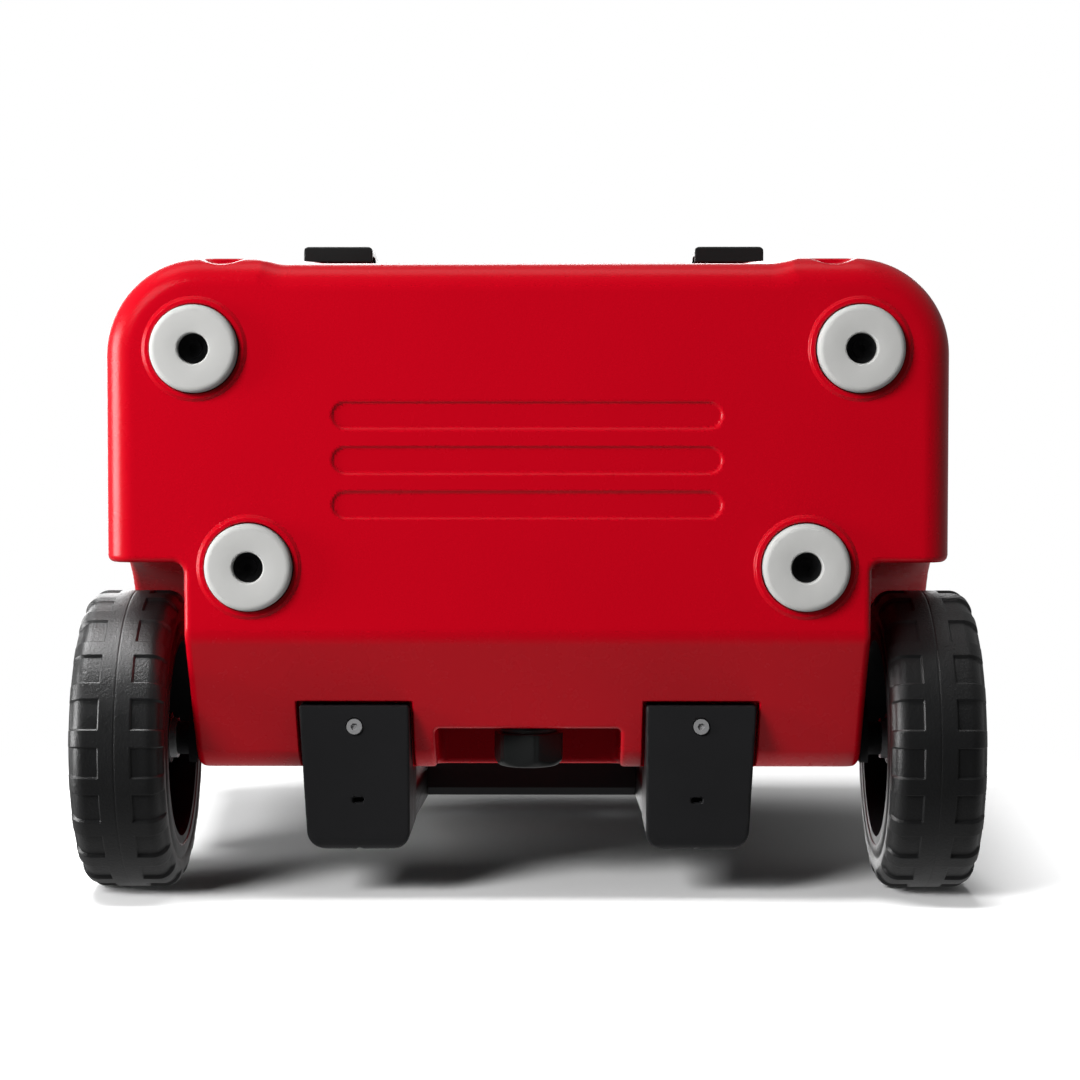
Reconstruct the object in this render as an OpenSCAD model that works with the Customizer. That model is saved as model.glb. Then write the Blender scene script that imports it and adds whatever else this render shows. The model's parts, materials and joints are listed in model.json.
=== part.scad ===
// Wheeled hard-sided cooler chest: a foam-filled double-walled tub and lid, two front latches,
// two rear wheels on stub axles, a two-stage telescoping tow handle and a screw-out drain plug.
// The chest stands on its feet. X runs to the right, Y to the back, Z up, in millimetres.
// The origin is on the ground, under the middle of the whole chest.

/* [Tub] */
// Width of the tub just above its bottom bend
tub_w = 483; // [480:1:486]
// Distance from the origin to the middle of the tub's front, just above its bottom bend
tub_front = 166.5; // [165.5:0.25:167.5]
// Distance from the origin to the back of the tub, at the lip of its sloped corner
tub_back = 129; // [128.5:0.1:129.5]
// Height of the rim above the ground
rim_z = 432; // [430:1:434]
// Outward lean of every side wall, in degrees
draft = 3.3; // [3.1:0.1:3.5]
// Thickness of the plastic skins
skin = 4; // [3.5:0.5:4.5]
// Thickness of the insulated side walls
wall = 45; // [43:1:46]
// Radius of the tub's upright corners at the bottom
corner = 55; // [50:1:58]
// Radius of the bend between the bottom and the walls
base_bend = 16; // [12:1:18]

/* [Lid] */
// Thickness of the lid above the rim
lid_t = 45; // [45:1:46]
// How far the lid stands out past the rim
lid_lip = 3; // [2:0.5:4]
// Diameter of the rounded rear edge, which turns about the hinge pins
lid_barrel_d = 45; // [45:1:46]

/* [Wheels] */
// Radius of the tyre
wheel_r = 89; // [87:0.5:90]
// Width of the tyre
tyre_w = 55; // [52:1:56]
// Distance between the outer faces of the two tyres
track = 527; // [525:1:529]
// Distance of the axles behind the origin
axle_y = 114.25; // [113.25:0.25:115.25]
// Radius of the arch around each wheel
well_r = 110; // [108:1:111]

/* [Handle] */
// Distance of each telescoping tube from the middle
tube_x = 101.25; // [100:0.25:102.5]

/* [Latches] */
// Distance of each latch from the middle
latch_x = 141; // [138:1:144]
// Width of a latch lever
latch_w = 51; // [48:1:52]

/* [Feet] */
// Radius of a rubber foot
foot_r = 25; // [23:0.5:26]

/* [Hidden] */

$fn = 48;
lean = tan(draft);
red = [0.78, 0.02, 0.10];
black = [0.09, 0.09, 0.10];
charcoal = [0.18, 0.18, 0.19];
steel = [0.72, 0.72, 0.74];
foam = [0.93, 0.86, 0.66];
pale_rubber = [0.80, 0.80, 0.78];
past = 1;         // how far a cut runs past a surface
join_gap = 0.05;  // between two pieces that are fastened face to face
run_gap = 0.05;   // radial clearance of a pin or shaft in its bore

// Tub
base_z = 8;             // underside of the tub
base_ref = 15;          // height at which tub_w and tub_front are measured
lip_ref = 60;           // height at which tub_back is measured
corner_steps = 8;
foam_gap = 0.1;         // between the foam and the skins
cavity_floor = 60;
cavity_corner = 34;
cavity_bend = 14;
slope_angle = 33;       // rise of the sloped rear corner
slope_y = 47;         // where the slope leaves the flat bottom
well_x = 196.6;         // inner wall of each wheel arch
axle_z = wheel_r;       // the tyres touch the ground when the chest stands on its feet
arch_steps = 14;
hump_wall = 22;         // insulation between a wheel arch and the inside
side_grip_w = 120;
side_grip_y = -10;
side_grip_z = 386;
side_grip_h = 30;
side_grip_deep = 18;

// Shallow flutes that stiffen the flat bottom
flute_size = [222, 15];
flute_pitch = 25.5;
flute_y = -54.25;
flute_deep = 1.5;
flutes = 3;
// The front corners stand proud of the middle of the front
front_proud = 3;
front_panel_w = 336;
// Finger scoops in the lower front edge, to lift the chest by
scoop_x = 175;
scoop_r = 22;
scoop_deep = 3.2;
scoop_top = 40;

// Drain
drain_z = 74;
drain_notch_w = 109.4;
drain_notch_y = 103.6;
drain_notch_top = 100;
bushing_r = 14;
bushing_bore = 11;
plug_r = 21.9;          // of the hexagon's corners, before they are rounded
plug_turn = 17;
plug_round = 0.6;
thread_pitch = 4;

// Feet
foot_places = [[189.5, -117.75], [159, 6.65]];
foot_hole = 8.8;
foot_recess = 2;
foot_h = base_z + foot_recess;
boss_r = foot_r + 4;
boss_h = 1.6;

// Handle, in a frame that leans with the rear wall
handle_y = 154.25;
handle_z = 50;
rail_size = [63, 22];
channel_size = [36.5, 19.5];
collar_size = [40, 24];
mid_size = [34.5, 18.5];
inner_size = [29.5, 13.5];
tube_wall = 1.6;
tube_round = 4;
rail_s = [58, 336];
socket_s = 14;
brace_s = [209, 231];
brace_back = 7.7;
bracket_s = [306, 340];
mid_s = [20, 349];
collar_s = [340.3, 350];
inner_s = [28, 390];
grip_s = [382, 412];
grip_depth = 30;
grip_w = 2 * tube_x + 42;
link_s = 394;
spring_x = 45;

// Handle bases, seen from the side as [y, z]
base_front_y = 88.7;
base_front_z = [32.2, 45];
base_back_y = 175.2;
base_waist_z = 92;      // where the flared foot of the base meets the line of the rail
base_w = 64.5;
base_notch_deep = 10;
base_notch_u = 47.2;
base_screw = [101, 101];
base_screw_r = 4.5;
base_slot = [99, 144.75];
base_slot_size = [6, 2.9];

// Lid and hinges
part_gap = 1;
lid_z = rim_z + part_gap;
lid_top = lid_z + lid_t;
hinge_y = 131.75;
barrel_r = lid_barrel_d / 2;
hinge_z = lid_z + barrel_r;
lid_bend = 12;
lid_front_w = 427;      // width of the shallow step in the lid's front
lid_front_deep = 2;
plug_drop = 11;
gasket_w = 8;
gasket_out = 3;         // from the inner edge of the rim to the gasket
hinge_x = 170;
ear_w = 40;
ear_r = 11;
hinge_notch_w = 45;
hinge_notch_deep = 13;   // in front of the hinge axis
pin_r = 4;
bush_r = 6;
bush_l = 16;

// Latches
latch_pivot = [-187.25, 461];
latch_pin_r = 3;
latch_notch_w = 57;
latch_notch_y = -176.25;
latch_bottom = 402;
latch_front = 203.25;
keeper_z = 406;

// Wheels
tyre_in = track / 2 - tyre_w;
tyre_out = track / 2;
rim_r = 64;
tread_pads = 20;        // sunk pads in each row of the tread
tread_deep = 1.5;
tread_w = 18;
tread_share = 0.63;     // share of the circumference that the pads cover
tread_phase = 2.6;
axle_r = 6;
hub_in = 216;
hub_out = 252;

function side_x(z) = tub_w / 2 + (z - base_ref) * lean;
function front_y(z) = -tub_front - (z - base_ref) * lean;
function back_y(z) = tub_back + (z - lip_ref) * lean;
function corner_r(z) = corner + (z - base_ref) * 0.03;

function arc(cx, cy, r, from, to, steps) =
    [for (i = [0:steps]) let (a = from + (to - from) * i / steps) [cx + r * cos(a), cy + r * sin(a)]];

function outline(half_w, y0, y1, r, steps = corner_steps) = concat(
    arc(half_w - r, y1 - r, r, 0, 90, steps), arc(-half_w + r, y1 - r, r, 90, 180, steps),
    arc(-half_w + r, y0 + r, r, 180, 270, steps), arc(half_w - r, y0 + r, r, 270, 360, steps));

function rounded(size, r, steps = 5) = outline(size[0] / 2, -size[1] / 2, size[1] / 2, r, steps);

function at_height(points, z) = [for (p = points) [p[0], p[1], z]];

function tub_outline(z, inset) = outline(side_x(z) - inset, front_y(z) - front_proud + inset, back_y(z) - inset,
                                         max(corner_r(z) - inset, 3));

function cavity_outline(z, inset) = outline(side_x(z) - wall - inset, front_y(z) + wall - 3 + inset,
                                            back_y(z) - wall + 1 - inset, max(cavity_corner - inset, 3));

// A closed solid through a stack of outlines that have the same number of points
module loft(rings) {
    n = len(rings[0]);
    top = len(rings) - 1;
    polyhedron(
        points = [for (ring = rings) each ring],
        faces = concat(
            [[for (i = [0:n - 1]) i]],
            [[for (i = [n - 1:-1:0]) top * n + i]],
            [for (k = [0:top - 1]) for (i = [0:n - 1])
                let (j = (i + 1) % n) [k * n + i, (k + 1) * n + i, (k + 1) * n + j]],
            [for (k = [0:top - 1]) for (i = [0:n - 1])
                let (j = (i + 1) % n) [k * n + i, (k + 1) * n + j, k * n + j]]));
}

module at_side(s) {
    mirror([s < 0 ? 1 : 0, 0, 0]) children();
}

module both_sides() {
    for (s = [-1, 1]) at_side(s) children();
}

// A flat shape drawn as [y, z], extruded from x0 to x1
module along_x(x0, x1) {
    translate([x0, 0, 0]) rotate([90, 0, 90]) linear_extrude(x1 - x0) children();
}

module rod_x(x0, x1, y, z, r) {
    translate([x0, y, z]) rotate([0, 90, 0]) cylinder(r = r, h = x1 - x0);
}

module rod_y(y0, y1, x, z, r) {
    translate([x, y0, z]) rotate([-90, 0, 0]) cylinder(r = r, h = y1 - y0);
}

module rod_z(z0, z1, x, y, r) {
    translate([x, y, z0]) cylinder(r = r, h = z1 - z0);
}

// A screw that stands along +Z, with its head's top at z = 0 and its shank below
module screw(head_r, head_h, shank_r, length) {
    difference() {
        union() {
            translate([0, 0, -head_h]) cylinder(r = head_r, h = head_h);
            translate([0, 0, -length]) cylinder(r = shank_r, h = length - head_h + 0.2);
        }
        translate([0, 0, -head_h * 0.6]) cylinder(r = head_r * 0.5, h = head_h, $fn = 6);
    }
}

module screw_hole(head_r, head_h, shank_r, length) {
    translate([0, 0, -head_h - join_gap]) cylinder(r = head_r + 0.2, h = head_h + 40);
    translate([0, 0, -length - 0.5]) cylinder(r = shank_r + run_gap, h = length);
}

// ---------------------------------------------------------------- tub

module tub_block(inset) {
    bend = max(base_bend - inset, 2);
    z0 = base_z + inset;
    layers = [for (a = [0:30:90]) [z0 + bend * (1 - cos(a)), inset + bend * (1 - sin(a))]];
    loft(concat([for (layer = layers) at_height(tub_outline(layer[0], layer[1]), layer[0])],
                [at_height(tub_outline(rim_z - inset, inset), rim_z - inset)]));
}

module arch_cut(grow, inner_x) {
    r = well_r + grow;
    along_x(inner_x, tub_w / 2 + 60) polygon(concat(
        [[axle_y - r, -past]], arc(axle_y, axle_z, r, 180, 90, arch_steps),
        [[axle_y + 120, axle_z + r], [axle_y + 120, -past]]));
}

// Frame on the sloped rear corner: Y runs up the slope, Z points into the tub
module on_slope() {
    translate([0, slope_y, base_z]) rotate([slope_angle, 0, 0]) children();
}

module base_notch_cut(grow) {
    w = base_w + 3 + 2 * grow;
    on_slope() translate([tube_x - w / 2, base_notch_u - grow, -30])
        cube([w, 160, 30 + base_notch_deep + grow]);
}

module tub_outside_cuts(grow) {
    both_sides() {
        arch_cut(grow, well_x - grow);
        base_notch_cut(grow);
        translate([side_x(side_grip_z) - side_grip_deep - grow, side_grip_y - side_grip_w / 2 - grow,
                   side_grip_z - grow])
            cube([60, side_grip_w + 2 * grow, side_grip_h + 2 * grow]);
    }
    on_slope() translate([-tub_w / 2, -50, -100 + grow]) cube([tub_w, 260, 100]);
    translate([-drain_notch_w / 2 - grow, drain_notch_y - grow, -past])
        cube([drain_notch_w + 2 * grow, 60, drain_notch_top + grow + past]);
    on_front_wall(base_ref) translate([-front_panel_w / 2 - grow, -20, -30])
        cube([front_panel_w + 2 * grow, 20 + grow, rim_z + 60]);
    both_sides() rod_z(-past, scoop_top + grow, scoop_x,
                       front_y(base_ref) - front_proud + scoop_deep - scoop_r, scoop_r + grow);
    for (i = [0:flutes - 1]) translate([0, flute_y + (i - (flutes - 1) / 2) * flute_pitch, -past])
        linear_extrude(base_z + past + flute_deep + grow)
            polygon(rounded([flute_size[0] + 2 * grow, flute_size[1] + 2 * grow],
                            flute_size[1] / 2 + grow - 0.01, 8));
}

module cavity(grow) {
    z0 = cavity_floor - grow;
    bend = cavity_bend + grow;
    layers = [for (a = [0:30:90]) [z0 + bend * (1 - cos(a)), bend * (1 - sin(a)) - grow]];
    difference() {
        loft(concat([for (layer = layers) at_height(cavity_outline(layer[0], layer[1]), layer[0])],
                    [at_height(cavity_outline(rim_z + past, -grow), rim_z + past)]));
        both_sides() arch_cut(hump_wall - grow, well_x - hump_wall + grow);
    }
}

module tub_screw_holes() {
    both_sides() {
        foot_screw_places() screw_hole(5, 2.5, 2.5, 24);
        base_screw_place() screw_hole(base_screw_r, 2.6, 2.5, 36);
        axle_plate_screw_places() screw_hole(4.5, 2.6, 2.2, 16);
        hinge_screw_places() screw_hole(4.5, 2.6, 2.2, 18);
        keeper_screw_places() screw_hole(3.6, 2, 1.8, 15);
        in_handle() bracket_screw_places() screw_hole(5, 3, 2.5, 52);
        rod_x(well_x - 14, well_x + past, axle_y, axle_z, axle_r + run_gap);
    }
    rod_y(back_y(drain_z) - wall - 8, drain_notch_y + past, 0, drain_z, bushing_r + join_gap);
}

module foot_bosses() {
    both_sides() for (p = foot_places)
        translate([p[0], p[1], base_z - boss_h]) difference() {
            cylinder(r = boss_r, h = boss_h + 0.5);
            translate([0, 0, -past]) cylinder(r = foot_r + 0.6, h = boss_h + past);
        }
}

module tub_foam_form(gap) {
    difference() {
        tub_block(skin + gap);
        tub_outside_cuts(skin + gap);
        cavity(skin + gap);
        both_sides() foot_recesses(skin + gap);
    }
}

// Narrow joints that part the foam into a floor and mitred wall blocks, each of them close to convex
module foam_joints() {
    gap = 2 * join_gap;
    reach = 200;
    floor_joint = cavity_floor + 1.5;
    hump_joint = axle_z + well_r + hump_wall;
    corner_x = side_x(cavity_floor) - wall - cavity_corner;
    corner_y = [front_y(cavity_floor) + wall - 3 + cavity_corner, back_y(cavity_floor) - wall + 1 - cavity_corner];
    hump_x = well_x - hump_wall;
    pocket = skin + foam_gap;
    pocket_z = [side_grip_z - pocket, side_grip_z + side_grip_h + pocket];
    pocket_y = side_grip_y - side_grip_w / 2 - pocket;
    for (z = [floor_joint, hump_joint]) translate([-2 * reach, -2 * reach, z]) cube([4 * reach, 4 * reach, gap]);
    both_sides() {
        translate([corner_x, corner_y[0], floor_joint]) rotate([0, 0, -45])
            translate([0, -gap / 2, 0]) cube([reach, gap, rim_z]);
        translate([corner_x, corner_y[1], hump_joint]) rotate([0, 0, 45])
            translate([0, -gap / 2, 0]) cube([reach, gap, rim_z]);
        translate([hump_x, corner_y[1], floor_joint]) cube([gap, reach, hump_joint - floor_joint]);
        for (z = pocket_z) translate([0, 0, z - gap / 2]) linear_extrude(gap) polygon([
            [corner_x, corner_y[0]], [corner_x + reach, corner_y[0] - reach],
            [corner_x + reach, corner_y[1] + reach], [corner_x, corner_y[1]]]);
        for (y = [pocket_y, pocket_y + side_grip_w + 2 * pocket])
            translate([corner_x + cavity_corner - 5, y - gap / 2, pocket_z[0]])
                cube([reach, gap, pocket_z[1] - pocket_z[0]]);
    }
}

module foot_recesses(grow) {
    for (p = foot_places) rod_z(base_z - past, base_z + foot_recess + grow, p[0], p[1], foot_r + 0.6 + grow);
}

module tub_shell() {
    color(red) difference() {
        union() {
            tub_block(0);
            foot_bosses();
        }
        tub_outside_cuts(0);
        cavity(0);
        tub_foam_form(0);
        both_sides() foot_recesses(0);
        tub_screw_holes();
    }
}

module tub_foam() {
    color(foam) difference() {
        tub_foam_form(foam_gap);
        tub_screw_holes();
        foam_joints();
    }
}

module foot(p) {
    edge = 3.5;
    hole_bend = 1.2;
    color(pale_rubber) translate([p[0], p[1], 0]) rotate_extrude() polygon(concat(
        [[foot_hole + hole_bend, 0]], arc(foot_r - edge, edge, edge, 270, 360, 6),
        [[foot_r, foot_h - join_gap], [3, foot_h - join_gap], [3, 6.2],
         [foot_hole, 6.2], [foot_hole, hole_bend]]));
}

module foot_screw_places() {
    for (p = foot_places) translate([p[0], p[1], 3.6]) rotate([180, 0, 0]) children();
}

// Each screw carries a wide washer that fills the hole in its foot
module foot_screws() {
    washer_z = 3.6 + 2.5;
    color(charcoal) both_sides() {
        foot_screw_places() screw(5, 2.5, 2.5, 24);
        for (p = foot_places) rod_z(washer_z - 0.7, washer_z, p[0], p[1], foot_hole - 0.3);
    }
}

// ---------------------------------------------------------------- drain

module drain_bushing() {
    color(black) difference() {
        union() {
            rod_y(back_y(drain_z) - wall + 1, drain_notch_y + 1, 0, drain_z, bushing_r);
            rod_y(drain_notch_y + join_gap, drain_notch_y + 2.5, 0, drain_z, bushing_r + 4);
        }
        rod_y(0, drain_notch_y + 10, 0, drain_z, bushing_bore);
    }
}

module drain_seal() {
    color(pale_rubber) difference() {
        rod_y(drain_notch_y + 2.6, drain_notch_y + 4.4, 0, drain_z, bushing_r + 2.5);
        rod_y(drain_notch_y, drain_notch_y + 10, 0, drain_z, bushing_bore - 0.2);
    }
}

module drain_plug() {
    knob_y = drain_notch_y + 4.5;
    thread_l = 15;
    end_y = tub_back - 0.4;
    color(black) difference() {
        union() {
            intersection() {
                translate([0, knob_y, drain_z]) rotate([-90, 0, 0]) rotate([0, 0, -plug_turn])
                    cylinder(r = plug_r, h = end_y - knob_y, $fn = 6);
                translate([0, knob_y, drain_z]) rotate([-90, 0, 0])
                    cylinder(r1 = plug_r + end_y - knob_y - 5, r2 = plug_r - 5, h = end_y - knob_y);
                rod_y(knob_y, end_y, 0, drain_z, plug_r - plug_round);
            }
            rod_y(knob_y - thread_l, knob_y + past, 0, drain_z, bushing_bore - 1.4);
            for (i = [0:2])
                rod_y(knob_y - 6 - i * thread_pitch, knob_y - 4.4 - i * thread_pitch,
                      0, drain_z, bushing_bore - 0.4);
        }
        rod_y(knob_y - thread_l - past, knob_y + 8, 0, drain_z, bushing_bore - 4);
    }
}

// ---------------------------------------------------------------- handle

module in_handle() {
    translate([0, handle_y, handle_z]) rotate([-draft, 0, 0]) children();
}

module tube(size, s, thick) {
    translate([tube_x, 0, s[0]]) linear_extrude(s[1] - s[0]) difference() {
        polygon(rounded(size, tube_round));
        polygon(rounded([size[0] - 2 * thick, size[1] - 2 * thick], tube_round - thick));
    }
}

// A three-chambered extrusion. The telescoping tubes run in the middle chamber.
module handle_rail() {
    side_wall = 1.6;
    side_w = (rail_size[0] - channel_size[0]) / 2 - 2 * side_wall;
    length = rail_s[1] - rail_s[0];
    color(black) in_handle() translate([tube_x, 0, rail_s[0]]) linear_extrude(length) difference() {
        polygon(rounded(rail_size, tube_round));
        polygon(rounded(channel_size, tube_round - 1.5));
        for (s = [-1, 1]) translate([s * (channel_size[0] / 2 + side_wall + side_w / 2), 0])
            polygon(rounded([side_w, rail_size[1] - 2 * side_wall], 2));
    }
}

module mid_tube() {
    color(charcoal) in_handle() tube(mid_size, mid_s, tube_wall);
}

module inner_tube() {
    color(charcoal) in_handle() tube(inner_size, inner_s, tube_wall);
}

module mid_collars() {
    seat = collar_s[1] - 0.9;
    color(black) in_handle() both_sides() translate([tube_x, 0, 0]) difference() {
        translate([0, 0, collar_s[0]]) linear_extrude(collar_s[1] - collar_s[0])
            polygon(rounded(collar_size, tube_round));
        translate([0, 0, collar_s[0] - past]) linear_extrude(seat - collar_s[0] + past)
            polygon(rounded([mid_size[0] + 0.1, mid_size[1] + 0.1], tube_round));
        translate([0, 0, seat - past]) linear_extrude(20)
            polygon(rounded([inner_size[0] + 0.5, inner_size[1] + 0.5], tube_round));
    }
}

module base_screw_place() {
    translate([base_screw[0], base_screw[1], 32.2]) rotate([180, 0, 0]) children();
}

// The foot of a handle rail: a wedge that lies under the sloped corner, with a flared back, and a
// block behind the rear wall that the rail stands on
module handle_base() {
    bend = 9;
    back_z = 38.6;
    top_z = 125;
    inner_x = tube_x - base_w / 2;
    outer_x = tube_x + base_w / 2;
    taper = 4.5;
    round_r = 9;
    rail_back = rail_size[1] / 2 + 0.6;
    function line_y(z) = handle_y + (z - handle_z) * lean + rail_back;
    color(black) difference() {
        intersection() {
            along_x(inner_x - past, outer_x + past) polygon(concat(
                [[base_front_y, base_front_z[0]]], arc(base_back_y - bend, back_z + bend, bend, 285, 375, 7),
                [[line_y(base_waist_z), base_waist_z], [line_y(top_z), top_z], [back_y(top_z) + 1.2, top_z],
                 [back_y(74) + 1.2, 74], [base_front_y, base_front_z[1] - 1]]));
            linear_extrude(200) polygon(concat(
                [[inner_x, base_front_y - past]], [[outer_x, base_front_y - past]],
                arc(outer_x - taper - round_r, base_back_y + 0.1 - round_r, round_r, 0, 90, 6),
                arc(inner_x + 0.6 + round_r, base_back_y + 0.1 - round_r, round_r, 90, 180, 6)));
            in_handle() translate([0, -100, -60]) cube([200, 200, 60 + rail_s[0] - join_gap]);
        }
        in_handle() translate([tube_x, 0, socket_s]) linear_extrude(100)
            polygon(rounded(channel_size, tube_round - 1.5));
        base_screw_place() screw_hole(base_screw_r, 2.6, 2.5, 36);
        translate([base_slot[0] - base_slot_size[0] / 2, base_slot[1] - base_slot_size[1] / 2, 30])
            cube([base_slot_size[0], base_slot_size[1], 14]);
    }
}

module handle_base_screws() {
    color(steel) both_sides() base_screw_place() screw(base_screw_r, 2.6, 2.5, 36);
}

module bracket_screw_places() {
    for (s = [bracket_s[0] + 10, bracket_s[1] - 10])
        translate([58, 13, s]) rotate([-90, 0, 0]) children();
}

// Two cross-pieces tie the rails together: one around their tops and a lower brace between them
module handle_bracket() {
    half = tube_x + 33;
    wall_local = -(handle_y - back_y(handle_z)) * cos(draft);
    brace_half = tube_x - rail_size[0] / 2 - join_gap;
    color(black) in_handle() along_x(-brace_half, brace_half)
        polygon([[wall_local + join_gap, brace_s[0]], [brace_back - 5.2, brace_s[0]],
                 [brace_back, brace_s[0] + 4], [brace_back, brace_s[1]], [wall_local + join_gap, brace_s[1]]]);
    color(black) in_handle() difference() {
        union() {
            translate([0, 0, bracket_s[0]]) linear_extrude(bracket_s[1] - bracket_s[0])
                polygon(outline(half, -14.5, 14.5, 9, 6));
            both_sides() translate([58, 0, (bracket_s[0] + bracket_s[1]) / 2])
                translate([-12, wall_local + join_gap, -16]) cube([24, -wall_local - 10, 32]);
        }
        both_sides() translate([tube_x, 0, 0]) {
            translate([0, 0, bracket_s[0] - past]) linear_extrude(rail_s[1] + join_gap - bracket_s[0] + past)
                polygon(rounded([rail_size[0] + 0.1, rail_size[1] + 0.1], tube_round));
            linear_extrude(bracket_s[1] + past)
                polygon(rounded([mid_size[0] + 0.7, mid_size[1] + 0.7], tube_round));
        }
        both_sides() bracket_screw_places() screw_hole(5, 3, 2.5, 52);
    }
}

module handle_bracket_screws() {
    color(steel) in_handle() both_sides() bracket_screw_places() screw(5, 3, 2.5, 52);
}

module grip_bar(y0, y1) {
    round_r = 10;
    intersection() {
        translate([-grip_w / 2, y0, grip_s[0]]) cube([grip_w, y1 - y0, grip_s[1] - grip_s[0]]);
        along_x(-grip_w / 2, grip_w / 2) translate([0, (grip_s[0] + grip_s[1]) / 2])
            polygon(rounded([grip_depth, grip_s[1] - grip_s[0]], round_r, 8));
    }
}

module grip_hollow() {
    translate([-tube_x - 6, -5.2, link_s - 5.5]) cube([2 * tube_x + 12, 10.4, 16]);
    both_sides() translate([tube_x, 0, grip_s[0] - past])
        linear_extrude(inner_s[1] - grip_s[0] + past + join_gap)
        polygon(rounded([inner_size[0] + 0.1, inner_size[1] + 0.1], tube_round));
    translate([-31, -8.3, link_s + 1.5]) cube([62, 16.6, 30]);
    both_sides() rod_z(link_s - 9.5, link_s, spring_x, 0, 4.2);
}

module grip_screw_places() {
    translate([62, 13.5, (grip_s[0] + grip_s[1]) / 2 - 8.6]) rotate([-90, 0, 0]) children();
}

module grip_body() {
    color(black) in_handle() difference() {
        grip_bar(-grip_depth / 2, 0);
        grip_hollow();
        both_sides() grip_screw_places() screw_hole(3.4, 2, 1.6, 22);
    }
}

module grip_cover() {
    color(black) in_handle() difference() {
        grip_bar(join_gap, grip_depth / 2);
        grip_hollow();
        both_sides() grip_screw_places() screw_hole(3.4, 2, 1.6, 22);
    }
}

module grip_screws() {
    color(steel) in_handle() both_sides() grip_screw_places() screw(3.4, 2, 1.6, 22);
}

// The push button in the grip and the cross link that it presses down
module release_button() {
    color(charcoal) in_handle() {
        translate([-tube_x - 4, -4, link_s]) cube([2 * tube_x + 8, 8, 6]);
        translate([0, 0, link_s + 5.5]) linear_extrude(grip_s[1] + 1.5 - link_s - 5.5)
            polygon(rounded([60, 15.6], 5));
    }
}

module push_rods() {
    color(steel) in_handle() both_sides() {
        rod_z(inner_s[0] + 14, link_s - join_gap, tube_x, 0, 2.2);
        translate([tube_x - 9, -4, inner_s[0] + 6]) cube([18, 8, 8.2]);
    }
}

function coil_point(turns, r, h, t) = [r * cos(360 * turns * t), r * sin(360 * turns * t), h * t];

// A coil spring: a wire of radius wire wound at radius r
module coil(turns, r, h, wire) {
    steps = ceil(10 * turns);
    sides = 6;
    loft_points = [for (k = [0:steps]) let (t = k / steps, a = 360 * turns * t, c = coil_point(turns, r, h, t))
        [for (i = [0:sides - 1]) let (b = 360 * i / sides)
            [c[0] + wire * cos(b) * cos(a), c[1] + wire * cos(b) * sin(a), c[2] + wire * sin(b)]]];
    loft([for (k = [steps:-1:0]) loft_points[k]]);
}

module button_springs() {
    color(steel) in_handle() both_sides()
        translate([spring_x, 0, link_s - 9]) coil(2.5, 3, 4.9, 0.45);
}

// ---------------------------------------------------------------- wheels

module axle_plate_screw_places() {
    for (a = [100, 180, 260])
        translate([well_x + 5, axle_y + 22 * cos(a), axle_z + 22 * sin(a)]) rotate([0, 90, 0]) children();
}

module axle_plate() {
    plate_r = 29;
    back = 11.5;
    color(black) difference() {
        union() {
            rod_x(well_x + join_gap, well_x + 5, axle_y, axle_z, plate_r);
            rod_x(well_x + 4, hub_in - 4.2, axle_y, axle_z, 10);
        }
        translate([well_x - past, axle_y + back, 0]) cube([60, 60, 200]);
        axle_plate_screw_places() screw_hole(4.5, 2.6, 2.2, 16);
        rod_x(well_x - past, hub_in, axle_y, axle_z, axle_r + run_gap);
    }
}

module axle_plate_screws() {
    color(steel) both_sides() axle_plate_screw_places() screw(4.5, 2.6, 2.2, 16);
}

module axle() {
    color(steel) difference() {
        rod_x(well_x - 13.5, hub_out + 4.5, axle_y, axle_z, axle_r);
        difference() {
            rod_x(hub_out + 2, hub_out + 3.3, axle_y, axle_z, axle_r + past);
            rod_x(hub_out, hub_out + 5, axle_y, axle_z, axle_r - 1);
        }
    }
}

module washer(x0, x1, r) {
    difference() {
        rod_x(x0, x1, axle_y, axle_z, r);
        rod_x(x0 - past, x1 + past, axle_y, axle_z, axle_r + run_gap);
    }
}

module axle_washers() {
    color(steel) both_sides() {
        washer(hub_in - 4.1, hub_in - 0.1, 12);
        washer(hub_out + 0.3, hub_out + 1.8, 10);
    }
}

module axle_clips() {
    color(steel) both_sides() difference() {
        rod_x(hub_out + 2.1, hub_out + 3.2, axle_y, axle_z, 9);
        rod_x(hub_out, hub_out + 5, axle_y, axle_z, axle_r - 0.9);
        translate([hub_out, axle_y - 2.5, axle_z]) cube([5, 5, 12]);
    }
}

// The section of the tyre, as [radius, distance along the axle]
function tyre_section(r, shoulder = 10) = concat(
    [[rim_r + 0.05, 0]], arc(r - shoulder, shoulder, shoulder, 270, 360, 5),
    arc(r - shoulder, tyre_w - shoulder, shoulder, 0, 90, 5), [[rim_r + 0.05, tyre_w]]);

// A row of sunk pads around the tyre, from x0 to x1 across it
module tread_row(x0, x1) {
    pitch = 360 / tread_pads;
    pad = wheel_r * PI * pitch / 180 * tread_share;
    for (i = [0:tread_pads - 1]) rotate([0, 0, i * pitch - tread_phase])
        translate([wheel_r - tread_deep, -pad / 2, x0]) cube([10, pad, x1 - x0]);
}

// Two rows of sunk pads lie either side of a plain band and run out over the shoulders
module tyre() {
    color(black) translate([tyre_in, axle_y, axle_z]) rotate([0, 90, 0]) difference() {
        rotate_extrude($fn = 96) polygon(tyre_section(wheel_r));
        tread_row(-past, tread_w);
        tread_row(tyre_w - tread_w, tyre_w + past);
    }
}

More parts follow.
